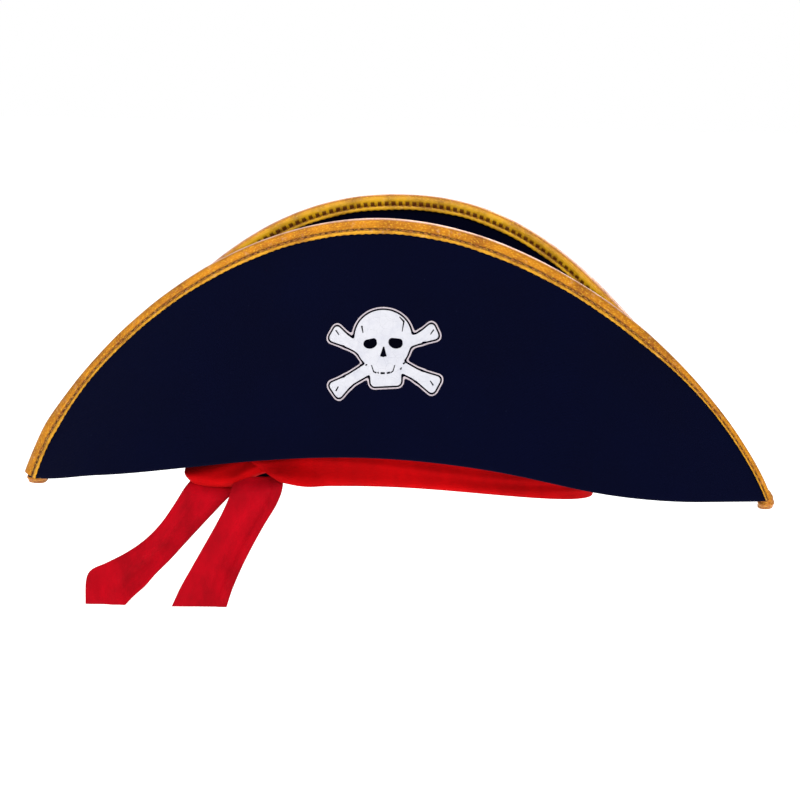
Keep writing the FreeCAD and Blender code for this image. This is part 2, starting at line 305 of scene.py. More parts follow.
# %% Navy cloth finish
def navy_cloth():
    finish = Finish("navy_cotton", Sheen_Weight=0.03, Sheen_Roughness=0.45,
                    Sheen_Tint=(0.08, 0.12, 0.45, 1.0), Specular_IOR_Level=0.04)
    spot, across, along = finish.flat()
    twill = ((across + along) * (TURN / 0.0009)).wave()
    filling = ((across - along) * (TURN / 0.0018)).wave()
    weave = twill * 0.65 + filling * 0.35
    nap = finish.noise(spot, 900.0, 4.0, 0.7)
    cloud = finish.noise(finish.place(), 16.0, 3.0)
    lint = finish.noise(spot, 420.0, 2.0).band(0.74, 0.80)
    worn = cloud * 0.5 + weave * 0.3 + nap * 0.2
    ground = finish.mix(worn.band(0.2, 0.8), rgb(1, 2, 20), rgb(3, 6, 33))
    colour = finish.mix(lint * 0.12, ground, rgb(70, 80, 120))
    height = weave * 0.6 + nap * 0.7
    return finish.finish(colour, 0.80 + cloud * 0.15, height, 0.00012)


NAVY = navy_cloth()

# %% [markdown]
# ## Gilt binding
# The edge is bound with gold lamé: a knit tape with metal foil on it. Folded over the edge it shows a
# painted highlight along the roll, deep orange gold on its body, painted shade in the stitched groove,
# and painted light on its inner face, which is a brighter copy of the same gold. Those zones run along
# the tape, so a colour ramp reads the coordinate across the tape. Tiny ribs and a crinkle in the bump
# break the reflection into the sparkle of foil, and bright flecks over the crinkle are painted glints.

# %% Gilt finish
TAPE_WIDTH = 25.6 * MM
STITCH_PITCH = 4.5 * MM


def gilt(name, stops, dashes):
    """Foil tape; stops colour it from one free lip to the other, dashes are pressed stitch marks."""
    finish = Finish(name, Specular_IOR_Level=0.5)
    spot, along, across = finish.flat()
    ribs = ((along + across * 0.35) * (TURN / 0.00085)).wave()
    crinkle = finish.noise(finish.stretched(spot, (1.0, 2.2, 1.0)), 620.0, 3.0, 0.65)
    patches = finish.noise(spot, 75.0, 3.0)
    rubbed = finish.noise(spot, 190.0, 4.0, 0.7).band(0.58, 0.72)
    width = across / TAPE_WIDTH
    zone = finish.node("ShaderNodeValToRGB", {"stops": stops}, {0: width})
    shaded = finish.mix(patches.band(0.42, 0.66) * 0.6, zone, rgb(120, 54, 4))
    # Painted glints: bright yellow flecks mixed into the colour over the crinkle.
    painted_sparkle = finish.mix(crinkle.band(0.52, 0.66) * 0.6, shaded, rgb(250, 196, 50))
    rubbed_foil = finish.mix(rubbed * 0.22, painted_sparkle, rgb(246, 206, 176))
    seam = width.band(0.68, 0.72) * (1.0 - width.band(0.83, 0.87))
    ragged = (along * (TURN / STITCH_PITCH)).wave() + crinkle * 0.5 + patches * 0.5
    marks = ragged.band(0.80, 0.95) * seam * dashes
    colour = finish.mix(marks * 0.9, rubbed_foil, rgb(108, 34, 6))
    rough = 0.34 + crinkle * 0.25 + rubbed * 0.2
    height = ribs * 0.35 + crinkle - marks * 0.8
    lit = width.band(0.54, 0.62) * 0.55
    return finish.finish(colour, rough, height, 0.00024, metallic=0.62 - rubbed * 0.2 - lit)


# GROOVE_PAINTED_SHADE is painted shade: the dark brown stands for the shade in the recessed stitched groove.
LIP, GROOVE_PAINTED_SHADE, BODY = rgb(218, 154, 32), rgb(70, 26, 2), rgb(198, 124, 6)
# LAME_PAINTED_LIGHT is painted light: the inner face's copy of the same gold, made brighter because little
# light reaches it.
# ROLL_PAINTED_HIGHLIGHT is a painted highlight: the pale peach reflection along the rolled top of the tape.
ROLL_PAINTED_HIGHLIGHT, LAME_PAINTED_LIGHT = rgb(236, 198, 188), rgb(255, 192, 14)
SOLE_STOPS = [(0.5, rgb(196, 118, 30)), (0.8, rgb(196, 122, 62)), (1.0, rgb(190, 120, 84))]
GILT = gilt("gilt_tape", [
    (0.0, LIP), (0.10, LIP), (0.15, GROOVE_PAINTED_SHADE), (0.19, GROOVE_PAINTED_SHADE), (0.24, BODY), (0.385, BODY), (0.425, ROLL_PAINTED_HIGHLIGHT),
    (0.50, ROLL_PAINTED_HIGHLIGHT), (0.56, BODY), (0.64, LAME_PAINTED_LIGHT), (0.92, LAME_PAINTED_LIGHT), (1.0, LIP),
], 1.0)
FOOT_GILT = gilt("gilt_foot", [(0.0, BODY), *SOLE_STOPS], 0.0)


def thread(name, shade):
    """Twisted sewing thread."""
    finish = Finish(name, Sheen_Weight=0.2, Specular_IOR_Level=0.4)
    twist = finish.noise(finish.place(), 2600.0, 2.0)
    dark = tuple(0.55 * part for part in shade[:3]) + (1.0,)
    return finish.finish(finish.mix(twist, dark, shade), 0.55 + twist * 0.2, twist, 0.0001)


GOLD_THREAD = thread("gold_thread", rgb(196, 120, 22))
NAVY_THREAD = thread("navy_thread", rgb(22, 28, 62))

# %% [markdown]
# ## Red velvet
# The sash is a cheap stretch velvet. Its short pile is darker seen straight on and lighter at a
# slant, which the shader's sheen gives, and where the pile is pushed the other way it shows as
# cloudy patches. The pile itself is a very fine noise in colour and bump.

# %% Velvet finish
def velvet(name, deep, bright, sheen):
    finish = Finish(name, Sheen_Weight=sheen, Sheen_Roughness=0.35,
                    Sheen_Tint=(1.0, 0.22, 0.26, 1.0), Specular_IOR_Level=0.08)
    spot = finish.flat()[0]
    pile = finish.noise(spot, 2400.0, 2.0, 0.7)
    brushed = finish.noise(finish.stretched(finish.place(), (1.0, 1.0, 0.6)), 55.0, 4.0, 0.6)
    mask = brushed * 0.65 + pile * 0.35
    colour = finish.mix(mask.band(0.30, 0.68), deep, bright)
    return finish.finish(colour, 0.78 + pile * 0.2, pile + brushed * 1.2, 0.00025)


BAND_VELVET = velvet("scarlet_velvet", rgb(166, 0, 4), rgb(214, 0, 6), 0.04)
TAIL_VELVET = velvet("crimson_velvet", rgb(130, 0, 12), rgb(194, 0, 22), 0.08)

# %% [markdown]
# ## Badge, lining and sweatband
# The badge is a heat-pressed film with a white print on it. The lining is black acetate, and the
# sweatband a ribbed black ribbon. Each gets its own small detail: hairline cracks in the print,
# slubs in the lining, and round ribs across the ribbon.

# %% Badge, lining and ribbon finishes
def pressed(name, ground, speck, rough, coat, shine=0.12):
    """Smooth transfer film with hairline cracks and a faint press pattern of the cloth below."""
    finish = Finish(name, Specular_IOR_Level=shine, Coat_Roughness=0.3)
    point = finish.place()
    cells = finish.node("ShaderNodeTexVoronoi", {"feature": "DISTANCE_TO_EDGE"},
                        {"Vector": point, "Scale": 210.0})
    crack = 1.0 - cells.band(0.004, 0.016)
    cloud = finish.noise(point, 130.0, 4.0, 0.65)
    press = finish.noise(point, 1500.0, 2.0)
    colour = finish.mix(cloud.band(0.45, 0.75) * 0.5 + crack * 0.06, ground, speck)
    return finish.finish(colour, rough + cloud * 0.15, press * 0.5 - crack, 0.00006, coat=coat)


def lining_cloth():
    finish = Finish("black_acetate", Sheen_Weight=0.15, Specular_IOR_Level=0.55,
                    Sheen_Tint=(0.5, 0.5, 0.6, 1.0))
    spot, across, along = finish.flat()
    slub = finish.noise(finish.stretched(spot, (1.0, 14.0, 1.0)), 260.0, 3.0, 0.7)
    weave = (across * (TURN / 0.0006)).wave() * (along * (TURN / 0.0006)).wave()
    crease = finish.noise(finish.place(), 34.0, 3.0)
    colour = finish.mix(slub, rgb(12, 12, 17), rgb(30, 30, 40))
    return finish.finish(colour, 0.38 + slub * 0.25, weave * 0.3 + slub + crease * 2.5, 0.0003)


def ribbon_cloth():
    finish = Finish("ribbed_ribbon", Sheen_Weight=0.2, Specular_IOR_Level=0.35)
    spot, along = finish.flat()[:2]
    ribs = (along * (TURN / 0.0013)).wave()
    wear = finish.noise(spot, 90.0, 4.0, 0.6)
    colour = finish.mix(ribs * 0.6 + wear * 0.4, rgb(8, 8, 12), rgb(36, 36, 46))
    return finish.finish(colour, 0.62 + wear * 0.2, ribs + wear * 0.4, 0.00035)


FILM = pressed("badge_film_finish", rgb(192, 181, 188), rgb(150, 138, 148), 0.5, 0.04)
WHITE_PRINT = pressed("badge_white_finish", rgb(204, 204, 211), rgb(178, 180, 194), 0.5, 0.04)
INK = pressed("badge_ink_finish", rgb(1, 1, 9), rgb(4, 4, 20), 0.8, 0.0, shine=0.02)
LINING = lining_cloth()
RIBBON = ribbon_cloth()

# %% [markdown]
# ## The lines of the brim
# The hat's shape is four lines that meet at the tips: the folds where the brim turns up at the
# front and back, and the arched top edges of the two turned-up sides. Each is a power of the share
# u of the half span, so all sheets and tapes can ask the same functions and fit each other. Sizes
# are read from the frame's boxes. A real edge isn't ruled, so both arches waver by a millimetre or
# so, the folds' line swells and dips a little, and the left tip hangs lower than the right one.

# %% Brim lines
leaf_high = {side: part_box("brim_%s_outer_cloth" % side)[1] for side in FACING}
HALF_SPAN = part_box("brim_front_outer_cloth")[1].x / 0.955
TIP_LEVEL = -8.2 * MM
FOLD_LEVEL = 21.9 * MM
LEFT_TIP_DROP = 4.5 * MM
TIP_DEPTH, FOLD_DEPTH, CREST_DEPTH = 5 * MM, 65 * MM, 36.6 * MM
ARCH = {"front": (1.895, 0.806), "back": (2.3, 1.25)}
FOLD_FULLNESS = 1.86
FOLD_SWAY = [(1.8 * MM, 0.90, 0.12), (-2.2 * MM, 0.56, 0.17)]
LEFT_FOLD_DROP, LEFT_CREST_DROP = 0.75, 0.93
SHEET_REACH = 0.988
LEAF_THICKNESS = 2.8 * MM
CLOTH_THICKNESS = 0.8 * MM
CROWN_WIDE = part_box("crown_front_panel")[1].x
CROWN_DEEP = -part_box("crown_front_panel")[0].y
CROWN_GAP = 1.2 * MM


def tip_drop(u, start=LEFT_FOLD_DROP):
    """How much lower the brim hangs towards its left tip, from the share start outwards."""
    return LEFT_TIP_DROP * ease(-u, start, 1.0)


def fold_of(u):
    """Distance from the middle plane and height of the fold."""
    height = TIP_LEVEL + (FOLD_LEVEL - TIP_LEVEL) * (1 - u * u) ** FOLD_FULLNESS
    height += lumps(u, FOLD_SWAY) - tip_drop(u)
    return Vector((TIP_DEPTH + FOLD_DEPTH * (1 - abs(u) ** 3), height))


def crest_of(side, u):
    """Distance and height of the top edge."""
    power, fullness = ARCH[side]
    rise = leaf_high[side].z - TIP_LEVEL
    height = TIP_LEVEL + rise * (1 - abs(u) ** power) ** fullness - tip_drop(u, LEFT_CREST_DROP)
    lean = 1.3 * math.sin(6.1 * u + 1.1 * FACING[side]) + 0.7 * math.sin(13.0 * u + 2.0)
    waver = lean * MM * (1 - u ** 4)
    return Vector((TIP_DEPTH + CREST_DEPTH * (1 - abs(u) ** 1.7) ** 1.9 + waver, height))


def solid(side, u, flat_point):
    """The point in space of a distance and height in the section at u."""
    return Vector((u * HALF_SPAN, FACING[side] * flat_point.x, flat_point.y))


def inner_edge(u):
    """Where the brim's cloth starts: at the crown, or in the middle beyond it."""
    inside = 1 - min(abs(u) * HALF_SPAN / (CROWN_WIDE + CROWN_GAP), 1) ** 2
    return (CROWN_DEEP + CROWN_GAP) * math.sqrt(inside)


print("half span", round(HALF_SPAN, 4), "tops", {s: round(v.z, 4) for s, v in leaf_high.items()})

# %% [markdown]
# ## Brim cloth
# On the real hat each side is one piece of cloth: flat under the brim, round a soft fold and up to
# the bound edge. It could be a simulated drape, but stiff felt between the layers holds it, so it
# is laid along its section instead: a straight run, a rounded fold and a slightly bellied leaf.
# The outer and the inner sheet use the same section at two depths. Beyond the crown the front and
# back meet, so there the back's sheets overlap the front's and are tucked between them.

# %% Brim cloth
FLAT_END, FOLD_END = 0.18, 0.32
FOLD_SOFTNESS = 3.5 * MM
ROUND_LENGTH = 1.7
BACK_TUCK, BACK_OVERLAP = 0.9 * MM, 2.0 * MM


def section_point(side, u, share):
    """Point, direction and distance travelled along the cloth's section."""
    fold = fold_of(u)
    inner = Vector((inner_edge(u), fold.y))
    crest = crest_of(side, u)
    soft = min(FOLD_SOFTNESS, 0.4 * (fold - inner).length, 0.4 * (crest - fold).length)
    enter = fold + (inner - fold).normalized() * soft
    leave = fold + (crest - fold).normalized() * soft
    run = (enter - inner).length
    if share < FLAT_END:
        s = share / FLAT_END
        return inner.lerp(enter, s), (enter - inner).normalized(), run * s, 0.0
    if share < FOLD_END:
        s = (share - FLAT_END) / (FOLD_END - FLAT_END)
        point = enter * (1 - s) ** 2 + fold * (2 * s * (1 - s)) + leave * s ** 2
        way = ((fold - enter) * (1 - s) + (leave - fold) * s).normalized()
        return point, way, run + ROUND_LENGTH * soft * s, 0.0
    s = (share - FOLD_END) / (1 - FOLD_END)
    travelled = run + ROUND_LENGTH * soft + (crest - leave).length * s
    return leave.lerp(crest, s), (crest - leave).normalized(), travelled, s


def belly(side, u, s):
    """How far the leaf stands out between its fold and its edge."""
    slow = 1.5 + 1.2 * math.sin(4.4 * u + 0.9 * FACING[side]) + 0.6 * math.sin(9.5 * u + 2.3)
    return slow * MM * math.sin(math.pi * s) * (1 - u * u)


def brim_place(side, depth):
    """How the cloth at this depth below the outer face lies."""
    def place(a, b):
        u = SHEET_REACH * math.sin(math.pi / 2 * (2 * a - 1))
        point, way, travelled, s = section_point(side, u, b)
        outward = Vector((way.y, -way.x))
        tuck = 0.0
        if side == "back":
            tuck = BACK_TUCK * (1 - ease(point.x, 0.5 * MM, 4 * MM)) * (1 if depth == 0 else -1)
        laid = point + outward * (belly(side, u, s) - depth - tuck)
        if side == "back":
            laid.x -= BACK_OVERLAP * (1 - ease(point.x, 0.0, 6 * MM))
        return solid(side, u, laid), (u * HALF_SPAN + 0.3, travelled)

    return place


brim_cloth = {}
for side in FACING:
    back = side == "back"
    for layer, depth, turned in (("outer", 0.0, back), ("inner", LEAF_THICKNESS, not back)):
        piece = cloth_grid("%s_%s_cloth" % (side, layer), 150, 68, brim_place(side, depth), NAVY,
                           turned=turned)
        print(piece.name, "flat area", round(area_of(piece), 4))
        brim_cloth[side, layer] = piece
outer_skin = {side: BVHTree.FromObject(brim_cloth[side, "outer"], bpy.context.evaluated_depsgraph_get())
              for side in FACING}
for piece in brim_cloth.values():
    thicken(piece, CLOTH_THICKNESS)

# %% [markdown]
# ## Binding tape
# The tape is folded over the raw edge and sewn through. It could be swept with a curve and a bevel
# profile, but the tape has to lean with the leaf all the way, so it is a grid again: one
# direction runs along the edge by its true length, the other follows a given profile with a
# free lip, a stitched groove, a full body and a roll over the top. Every stitch pulls the tape in
# a little, which is a ripple in the profile's height. The tape spreads open towards the left tip
# and is turned in to a narrow edge towards the right one.

# %% Binding tape
TAPE_HALF = [(8.2, 0.50), (8.1, 0.85), (7.6, 1.05), (6.9, 0.98), (6.2, 0.70), (5.7, 0.45), (5.2, 0.68),
             (4.7, 1.15), (3.9, 1.42), (3.0, 1.52), (2.1, 1.50), (1.2, 1.38), (0.4, 1.05), (-0.4, 0.45),
             (-0.9, -0.35)]
TAPE_DEPTH = 8.6 * MM
GROOVE_DOWN = 5.7 * MM
EDGE_REACH = 0.996
LEFT_OPENING, LEFT_ZONE = 0.35, (0.80, 0.97)
RIGHT_TURN_IN, RIGHT_ZONE = 0.42, (0.60, 0.88)


def edge_frame(side, u):
    """Edge point, way along it, way down the leaf and way out of it."""
    step = 0.002
    crest = solid(side, u, crest_of(side, u))
    ahead, behind = min(u + step, 1.0), max(u - step, -1.0)
    along = (solid(side, ahead, crest_of(side, ahead))
             - solid(side, behind, crest_of(side, behind))).normalized()
    up = (crest - solid(side, u, fold_of(u))).normalized()
    out = along.cross(up).normalized() * -FACING[side]
    down = along.cross(out) * -FACING[side]
    return crest, along, down, out


def edge_scale(side, u, down):
    """The tape's share of its full width: by the side of the hat, and never past the leaf's fold."""
    room = crest_of(side, u).y - fold_of(u).y
    most = 1.05 * room / max(TAPE_DEPTH * abs(down.z), 1e-6)
    return min(1.0 + LEFT_OPENING * ease(-u, *LEFT_ZONE) - RIGHT_TURN_IN * ease(u, *RIGHT_ZONE), most)


def edge_measure(side):
    """The edge's length, and a function from a length along it to u."""
    shares = numpy.sin(numpy.linspace(-0.5, 0.5, 801) * math.pi) * EDGE_REACH
    points = [solid(side, u, crest_of(side, u)) for u in shares]
    steps = [(b - a).length for a, b in zip(points, points[1:])]
    lengths = numpy.concatenate([[0.0], numpy.cumsum(steps)])
    return lengths[-1], lambda length: float(numpy.interp(length, lengths, shares))


def tape_profile():
    """The whole profile as (down, out, on the inner face)."""
    outer = [(s, o, 0) for s, o in TAPE_HALF]
    inner = [(s, o, 1) for s, o in reversed(TAPE_HALF)]
    return outer + [(-1.15, -1.4, 0)] + inner


PROFILE = tape_profile()


def tape_place(side, length, u_at):
    """How the folded tape lies over one edge."""
    def place(a, b):
        travelled = a * length
        u = u_at(travelled)
        crest, along, down, out = edge_frame(side, u)
        fit = edge_scale(side, u, down)
        s, o, inside = PROFILE[round(b * (len(PROFILE) - 1))]
        pucker = math.cos(TURN * travelled / STITCH_PITCH)
        uneven = math.sin(travelled * 71) + math.sin(travelled * 173 + 1.3)
        near_groove = lump(s, 5.4, 2.0)
        o += 0.16 * pucker * near_groove + 0.07 * uneven
        s += (0.18 * pucker + 0.10 * uneven) * ease(s, 6.2, 8.2)
        offset = -LEAF_THICKNESS - o * MM if inside else o * MM
        return crest + down * (s * MM * fit) + out * offset, (travelled, b * TAPE_WIDTH)

    return place


bindings = {}
edges = {}
for side in FACING:
    length, u_at = edge_measure(side)
    edges[side] = (length, u_at)
    tape = cloth_grid("%s_binding" % side, 540, len(PROFILE), tape_place(side, length, u_at), GILT,
                      turned=side == "back")
    print(tape.name, "edge length", round(length, 4), "flat area", round(area_of(tape), 5),
          "vertices", len(tape.data.vertices))
    bindings[side] = thicken(tape, 0.4 * MM)

# %% [markdown]
# ## Stitches and tips
# Thread shows as small raised stitches in the groove, one every few millimetres on both faces.
# They repeat hundreds of times, so each is a ball of only a few faces, stretched and turned by a
# matrix, and all of one seam's stitches share one mesh. At each tip the two tapes run into a
# folded-over end, a rounded foot that widens from its top and closes at its sole.

# %% Stitches and tips
def stitches(name, spots, size, finish):
    """One mesh of many small stitches; a spot is (point, way along, way out)."""
    bm = bmesh.new()
    length, width, height = size
    for point, along, out in spots:
        across = out.cross(along).normalized()
        turn = Matrix((along * length, across * width, out * height)).transposed().to_4x4()
        turn.translation = point
        bmesh.ops.create_uvsphere(bm, u_segments=6, v_segments=4, radius=0.5, matrix=turn)
    bmesh.ops.recalc_face_normals(bm, faces=bm.faces[:])
    return publish(bm, name, finish)


def tape_stitches(side):
    """Stitches in the groove, on both faces of the leaf."""
    length, u_at = edges[side]
    spots = []
    for count in range(3, int(length / STITCH_PITCH) - 2):
        u = u_at((count + 0.5) * STITCH_PITCH)
        crest, along, down, out = edge_frame(side, u)
        fit = edge_scale(side, u, down)
        face = crest + down * (GROOVE_DOWN * fit)
        spots.append((face + out * (0.55 * MM), along, out))
        spots.append((face - out * (LEAF_THICKNESS + 0.55 * MM), along, -out))
    return stitches("%s_binding_stitches" % side, spots, (2.7 * MM, 0.75 * MM, 0.7 * MM), GOLD_THREAD)


tape_seams = {side: tape_stitches(side) for side in FACING}

# X, height, half width along X and half depth of the foot, from its top to its sole, in
# millimetres. The left foot sits a little further in; the right one is further out, and slimmer.
FOOT = [(225.0, -1.0, 0.0, 0.0), (225.1, -1.6, 2.6, 3.6), (225.3, -3.4, 4.4, 5.2), (225.6, -6.4, 5.6, 6.0),
        (225.6, -9.2, 6.1, 6.3), (225.2, -11.4, 5.5, 5.8), (224.8, -12.3, 4.0, 4.4), (224.8, -12.5, 0.0, 0.0)]
LEFT_INSET, RIGHT_OUTSET = 2.5, 0.8
RIGHT_SLIMNESS = 0.8
foot_line = smooth_line([(x, z, 0.0) for x, z, wide, deep in FOOT])
foot_size = smooth_line([(wide, deep, 0.0) for x, z, wide, deep in FOOT])


def foot_place(hand):
    """The foot's skin, with soft corners and faint creases across it."""
    def place(a, b):
        middle = foot_line(a)
        size = foot_size(a)
        turn = b * TURN
        wide, deep = [math.copysign(abs(part) ** 0.8, part) for part in (math.cos(turn), math.sin(turn))]
        crease = 1 + 0.035 * math.sin(a * 38 + 1.5 * math.sin(turn)) * (1 if 0.05 < a < 0.95 else 0)
        slim, shift = (1, -LEFT_INSET) if hand < 0 else (RIGHT_SLIMNESS, RIGHT_OUTSET)
        x = middle.x + wide * max(size.x, 0) * crease * slim + shift
        y = deep * max(size.y, 0) * crease
        lowered = tip_drop(hand)
        return Vector((hand * x * MM, y * MM, middle.y * MM - lowered)), (b * 0.04, a * TAPE_WIDTH)

    return place


feet = {}
for name, hand in (("left", -1), ("right", 1)):
    feet[name] = cloth_grid("tip_foot_" + name, 44, 40, foot_place(hand), FOOT_GILT,
                            turned=hand < 0, welded=True)
    print(feet[name].name, len(feet[name].data.vertices), "vertices")

# %% [markdown]
# ## Badge
# The skull and crossed bones are a generic sign, drawn here from ovals and bars. Boolean unions of
# so many thin solids are fragile, so each shape is a distance function instead; melted() joins
# them with soft inner corners, and a border is simply a higher level of the same function. Small
# cells are cut along the outline and laid on the cloth by a ray cast, so the badge follows the
# leaf as a pressed transfer does. Film lies lowest, then the ink line, the white print, and the
# dark features.

# %% Badge
BADGE = Vector((3.0, 0.0, 82.0)) * MM
CELL, FINE_CELL = 0.7, 0.22


def oval(x, z, radius_x, radius_z):
    """Distance to an oval, negative inside; all shapes are in millimetres."""
    def distance(spot):
        reach = math.hypot((spot.x - x) / radius_x, (spot.y - z) / radius_z)
        return (reach - 1) * min(radius_x, radius_z)

    return distance


def bar(start, end, start_half, end_half, corner=0.0):
    """Distance to a bar between two points, with an own half width at each end."""
    start, end = Vector(start), Vector(end)
    length = (end - start).length
    way = (end - start).normalized()

    def distance(spot):
        offset = spot - start
        share = min(max(offset.dot(way) / length, 0), 1)
        slant = (end_half - start_half) * share
        past = abs(offset.dot(way) - length / 2) - length / 2 + corner
        aside = abs(offset.x * way.y - offset.y * way.x) - start_half - slant + corner
        return math.hypot(max(past, 0), max(aside, 0)) + min(max(past, aside), 0) - corner

    return distance


def melted(shapes, softness):
    """The union of the shapes, with its inner corners filled."""
    def distance(spot):
        total = shapes[0](spot)
        for shape in shapes[1:]:
            other = shape(spot)
            fill = max(softness - abs(total - other), 0) / softness
            total = min(total, other) - fill * fill * softness / 4
        return total

    return distance


def laid_on(spot, raised):
    """The point of the front leaf at a spot of the badge, raised by so many millimetres."""
    start = BADGE + Vector((spot.x * MM, -0.2, spot.y * MM))
    point, normal = outer_skin["front"].ray_cast(start, Vector((0, 1, 0)))[:2]
    return point + normal * (raised * MM)


def cut_sheet(bm, shape, level, cell, low, high, raised):
    """Fill the part of the window low..high where shape is below level with cut cells."""
    columns, rows = [int((high[axis] - low[axis]) / cell) + 1 for axis in (0, 1)]
    spots = {(i, j): Vector((low[0] + i * cell, low[1] + j * cell))
             for i in range(columns + 1) for j in range(rows + 1)}
    depth = {key: shape(spot) - level for key, spot in spots.items()}
    made = {}

    def corner(key, other):
        """The grid point itself, or the point of the outline on the way to the other one."""
        name = key if other is None else (min(key, other), max(key, other))
        if name not in made:
            spot = spots[key]
            if other is not None:
                spot = spot.lerp(spots[other], depth[key] / (depth[key] - depth[other]))
            made[name] = bm.verts.new(laid_on(spot, raised))
        return made[name]

    for i in range(columns):
        for j in range(rows):
            ring = [(i, j), (i + 1, j), (i + 1, j + 1), (i, j + 1)]
            outline = []
            for here, there in zip(ring, ring[1:] + ring[:1]):
                if depth[here] < 0:
                    outline.append(corner(here, None))
                if (depth[here] < 0) != (depth[there] < 0):
                    outline.append(corner(here, there))
            if len(outline) > 2:
                bm.faces.new(outline)


def badge_layer(name, sheets, finish, thickness):
    """One layer from cut sheets, given its thickness in millimetres."""
    bm = bmesh.new()
    for sheet in sheets:
        cut_sheet(bm, *sheet)
    layer = thicken(publish(bm, name, finish), thickness * MM)
    print(layer.name, len(layer.data.polygons), "faces")
    return layer


# Each bone's shaft start, flare start and end, and its half widths at those three.
BONES = [((-8.0, 0.8), (-21.2, 5.9), (-30.9, 11.0), (3.4, 2.8, 5.2)),
         ((8.0, 5.4), (20.8, 9.4), (29.9, 14.2), (3.2, 2.7, 5.1)),
         ((-8.0, -8.4), (-19.8, -16.0), (-28.6, -22.9), (3.2, 2.9, 5.5)),
         ((8.0, -5.6), (20.2, -11.6), (32.0, -17.5), (3.1, 2.8, 5.5))]


def skull_and_bones():
    """The skull, its jaw and the four bone ends as one shape."""
    skull = melted([oval(-0.7, 9.2, 16.6, 15.6), bar((-0.4, 6.0), (0.2, -6.5), 15.4, 12.2, corner=6.0),
                    bar((0.8, 0.0), (2.3, -18.2), 9.4, 8.8, corner=2.4)], 2.5)
    bones = []
    for start, flare, end, (shaft_half, flare_half, end_half) in BONES:
        bones.append(melted([bar(start, flare, shaft_half, flare_half),
                             bar(flare, end, flare_half, end_half, corner=2.9)], 3.0))
    return melted([skull, *bones], 1.6)


# Thin ink lines, as groups of touching bars: cracks in the skull, the teeth's line with its ends,
# the cheeks, and a crack in each bone's end.
HAIRLINES = [
    [((8.4, 21.2), (11.2, 18.4), 0.30, 0.50), ((11.0, 18.6), (10.3, 12.9), 0.42, 0.18)],
    [((-13.4, 15.4), (-12.4, 11.3), 0.50, 0.20)],
    [((-6.7, -6.6), (-5.2, -10.4), 0.25, 0.32), ((-5.3, -10.3), (-3.6, -10.9), 0.30, 0.5)],
    [((6.9, -6.2), (5.9, -9.8), 0.25, 0.32), ((4.6, -10.5), (6.0, -9.7), 0.35, 0.25)],
    [((-2.9, -10.5), (-2.2, -11.2), 0.40, 0.30)], [((-1.2, -11.0), (1.3, -10.9), 0.60, 0.50)],
    [((2.4, -10.9), (4.3, -10.4), 0.45, 0.55)], [((-13.4, -7.2), (-12.2, -6.4), 0.55, 0.30)],
    [((-10.2, -6.9), (-9.2, -6.3), 0.45, 0.30)], [((11.6, -5.4), (12.9, -4.4), 0.50, 0.35)],
    [((10.2, -8.6), (10.9, -7.4), 0.45, 0.30)], [((-28.7, 12.2), (-26.6, 9.6), 0.34, 0.24)],
    [((26.6, 11.6), (28.4, 14.4), 0.26, 0.38)], [((-27.0, -22.2), (-25.6, -19.6), 0.45, 0.28)],
    [((27.6, -14.4), (29.6, -17.0), 0.26, 0.42)],
]


def ink_marks():
    """Eyes, nose and all the thin lines."""
    eyes = [melted([bar((-11.6, 5.2), (-4.2, 6.8), 1.9, 2.3, corner=1.8), oval(-8.2, 4.9, 3.3, 2.3)], 1.2),
            melted([bar((2.7, 7.3), (10.6, 6.3), 2.0, 2.4, corner=1.8), oval(7.0, 5.7, 3.5, 2.5)], 1.2)]
    nose = melted([bar((-0.9, -1.6), (-0.1, 3.9), 1.1, 0.25), bar((0.9, -1.5), (0.1, 3.9), 1.1, 0.25)], 0.6)
    lines = [melted([bar(*row) for row in group], 0.3) for group in HAIRLINES]
    return [*eyes, nose, *lines]


# The corners of the field that the badge lies in, and how far around a mark its window reaches.
FIELD_LOW, FIELD_HIGH = (-40.0, -33.0), (41.0, 30.0)
NEAR, MARGIN = 1.2, 1.0


def window_of(shape):
    """The part of the field that holds the shape, found on a grid of whole millimetres."""
    inside = [(x, z) for x in range(-38, 40) for z in range(-32, 32) if shape(Vector((x, z))) < NEAR]
    low = [min(spot[axis] for spot in inside) - MARGIN for axis in (0, 1)]
    high = [max(spot[axis] for spot in inside) + MARGIN for axis in (0, 1)]
    return low, high


# Each layer's border in millimetres, height above the cloth and thickness.
SIGN = skull_and_bones()
badge_film = badge_layer("badge_film_piece", [(SIGN, 1.75, CELL, FIELD_LOW, FIELD_HIGH, 0.30)], FILM, 0.36)
badge_line = badge_layer("badge_ink_line", [(SIGN, 0.95, CELL, FIELD_LOW, FIELD_HIGH, 0.38)], INK, 0.16)
badge_white = badge_layer("badge_white_print", [(SIGN, 0.0, CELL, FIELD_LOW, FIELD_HIGH, 0.48)],
                          WHITE_PRINT, 0.18)
badge_features = badge_layer("badge_features", [
    (mark, 0.0, FINE_CELL, *window_of(mark), 0.58) for mark in ink_marks()], INK, 0.14)

# %% [markdown]
# ## Crown
# Between the leaves sits a low crown of two panels, front and back, joined over the top. A
# subdivided box would round its corners too evenly, so each panel is a grid again: an upright wall
# on an oval, then a quarter turn of dome that narrows to nothing at both ends, where the
# corners are welded. Soft dents push only outwards, to stay clear of the lining.

# %% Crown
SAG_RADIUS = 940 * MM
WALL_TOP = 40 * MM
DOME = 65 * MM
WALL_SHARE = 0.34
SEAM_HALF = 1.1 * MM
SEAM_START = 12 * MM
PULLED_UP = [(2.2 * MM, 4 * MM, 58 * MM), (2.4 * MM, -60 * MM, 13 * MM)]


def sag(x):
    """Height of the crown's lower edge, which the sash and its tie pull up a little."""
    return math.sqrt(SAG_RADIUS ** 2 - x * x) - SAG_RADIUS + lumps(x, PULLED_UP)


